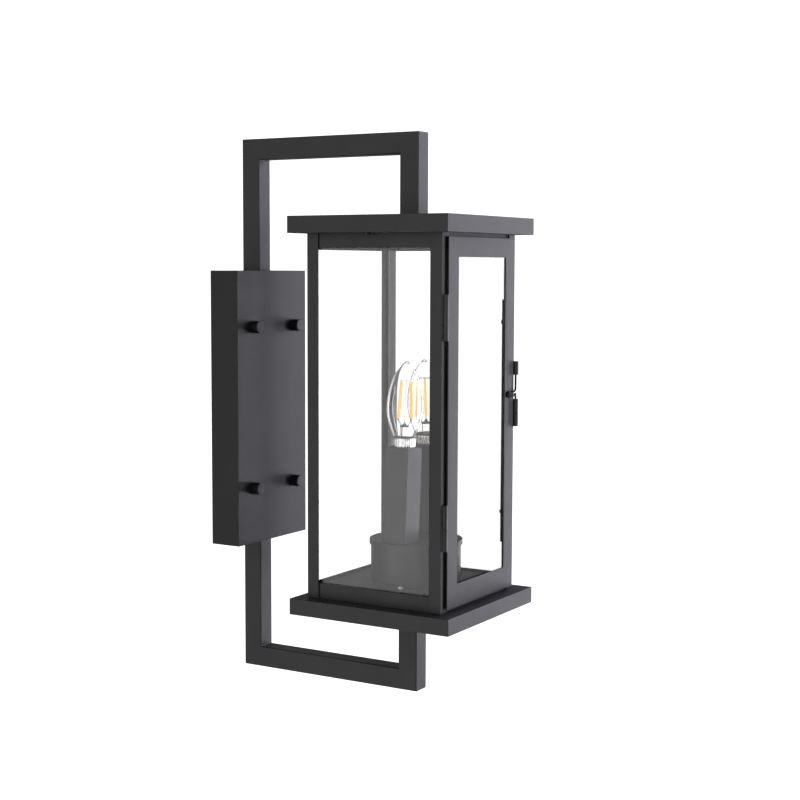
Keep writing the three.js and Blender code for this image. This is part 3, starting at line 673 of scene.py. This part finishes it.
AZIMUTH, PITCH, ROLL = math.radians(-59.152), math.radians(4.943), math.radians(0.182)
LENS_AT = (-1.231407, -0.913624, 0.136177)
SENSOR_WIDTH, FOCAL_LENGTH = 36, 69.093495  # in millimetres
forward = Vector((-math.sin(AZIMUTH) * math.cos(PITCH), math.cos(AZIMUTH) * math.cos(PITCH),
                  -math.sin(PITCH)))
level = Vector((math.cos(AZIMUTH), math.sin(AZIMUTH), 0))
upright = level.cross(forward)
right = math.cos(ROLL) * level + math.sin(ROLL) * upright
up = -math.sin(ROLL) * level + math.cos(ROLL) * upright
camera_data = bpy.data.cameras.new("camera")
camera_data.sensor_width = SENSOR_WIDTH
camera_data.lens = FOCAL_LENGTH
camera_data.clip_start = 0.01
camera = bpy.data.objects.new("camera", camera_data)
camera.matrix_world = Matrix((
    (right.x, up.x, -forward.x, LENS_AT[0]), (right.y, up.y, -forward.y, LENS_AT[1]),
    (right.z, up.z, -forward.z, LENS_AT[2]), (0, 0, 0, 1)))
scene.collection.objects.link(camera)
scene.camera = camera


# ---------------------------------------------------------------- studio: floor, soft light

def area_light(name, place, target, size, power, color=(1, 1, 1)):
    data = bpy.data.lights.new(name, "AREA")
    data.shape = "RECTANGLE"
    data.size, data.size_y = size
    data.energy = power
    data.color = color
    light = bpy.data.objects.new(name, data)
    light.matrix_world = (Matrix.Translation(place)
                          @ (Vector(target) - Vector(place)).to_track_quat("-Z", "Y").to_matrix().to_4x4())
    light.visible_camera = False
    scene.collection.objects.link(light)


BRIGHT_SIDE = math.radians(160)
BRIGHT, DIM, BACKDROP = 1.15, 0.2, 1.3
GLOW_STARTS, GLOW_FULL = 0.84, 0.985  # cosines of the angle from BRIGHT_SIDE
FLOOR_HEIGHT, FLOOR_REACH = -0.95, 9


def surround(tree, toward):
    """Brightness of the surroundings. The lens sees an even backdrop, straight or through glass. A ray that
    has bounced sees DIM to BRIGHT, brightest towards BRIGHT_SIDE, the left rear."""
    flat = add(tree, "ShaderNodeVectorMath", operation="MULTIPLY")
    flat.inputs[1].default_value = (1, 1, 0)
    tree.links.new(toward, flat.inputs[0])
    unit = add(tree, "ShaderNodeVectorMath", operation="NORMALIZE")
    tree.links.new(flat.outputs["Vector"], unit.inputs[0])
    facing = add(tree, "ShaderNodeVectorMath", operation="DOT_PRODUCT")
    facing.inputs[1].default_value = (math.cos(BRIGHT_SIDE), math.sin(BRIGHT_SIDE), 0)
    tree.links.new(unit.outputs["Vector"], facing.inputs[0])
    glow = remap(tree, facing.outputs["Value"], DIM, BRIGHT, GLOW_STARTS, GLOW_FULL)
    path = add(tree, "ShaderNodeLightPath")
    bounced = add(tree, "ShaderNodeMath", operation="ADD")
    tree.links.new(path.outputs["Glossy Depth"], bounced.inputs[0])
    tree.links.new(path.outputs["Diffuse Depth"], bounced.inputs[1])
    direct = add(tree, "ShaderNodeMath", operation="LESS_THAN")
    direct.inputs[1].default_value = 0.5
    tree.links.new(bounced.outputs[0], direct.inputs[0])
    white = add(tree, "ShaderNodeMath", operation="MULTIPLY")
    white.inputs[1].default_value = BACKDROP
    tree.links.new(direct.outputs[0], white.inputs[0])
    brightest = add(tree, "ShaderNodeMath", operation="MAXIMUM")
    tree.links.new(glow, brightest.inputs[0])
    tree.links.new(white.outputs[0], brightest.inputs[1])
    return brightest.outputs[0]


floor_material, floor_tree, floor_shader = new_material("pale_floor")
floor_coords = object_coords(floor_tree)
floor_tree.links.new(mix_color(floor_tree, remap(floor_tree, noise(floor_tree, floor_coords, 3, 3), 0, 1),
                               (0.14, 0.14, 0.14), (0.16, 0.16, 0.16)), floor_shader.inputs["Base Color"])
floor_shader.inputs["Roughness"].default_value = 0.9
floor_shader.inputs["Specular IOR Level"].default_value = 0.0
floor_shader.inputs["Emission Color"].default_value = (1, 1, 1, 1)
floor_tree.links.new(surround(floor_tree, floor_coords), floor_shader.inputs["Emission Strength"])
floor_corners = [(x * FLOOR_REACH, y * FLOOR_REACH, 0) for x, y in ((-1, -1), (1, -1), (1, 1), (-1, 1))]
floor = make_object("floor", floor_corners, [(0, 1, 2, 3)], floor_material)
floor.location = (0, 0, FLOOR_HEIGHT)

# Two tall softboxes stand either side of the direction that the door's glass mirrors to the lens.
BODY_MIDDLE, COOL = (0, -0.19, 0), (1.0, 0.975, 1.09)
area_light("softbox_side", (2.14, -0.61, 0.15), BODY_MIDDLE, (0.62, 2.3), 25, COOL)
area_light("softbox_front_right", (1.26, -1.99, 0.20), BODY_MIDDLE, (0.80, 2.3), 33, COOL)
area_light("softbox_front", (0.3, -2.5, 0.5), (0, -0.15, 0), (1.6, 1.6), 5, (1.0, 0.98, 1.06))
area_light("softbox_behind_lens", (-1.80, -1.32, 0.30), BODY_MIDDLE, (1.3, 1.3), 10)

world = bpy.data.worlds.new("studio")
world.use_nodes = True
world_tree = world.node_tree
background = world_tree.nodes["Background"]
background.inputs["Color"].default_value = (1, 1, 1, 1)
direction = add(world_tree, "ShaderNodeTexCoord")
world_tree.links.new(surround(world_tree, direction.outputs["Generated"]), background.inputs["Strength"])
scene.world = world
scene.view_settings.view_transform = "Standard"
scene.view_settings.look = "None"
scene.cycles.max_bounces = 28
scene.cycles.transmission_bounces = 28
scene.cycles.transparent_max_bounces = 24
scene.cycles.glossy_bounces = 8
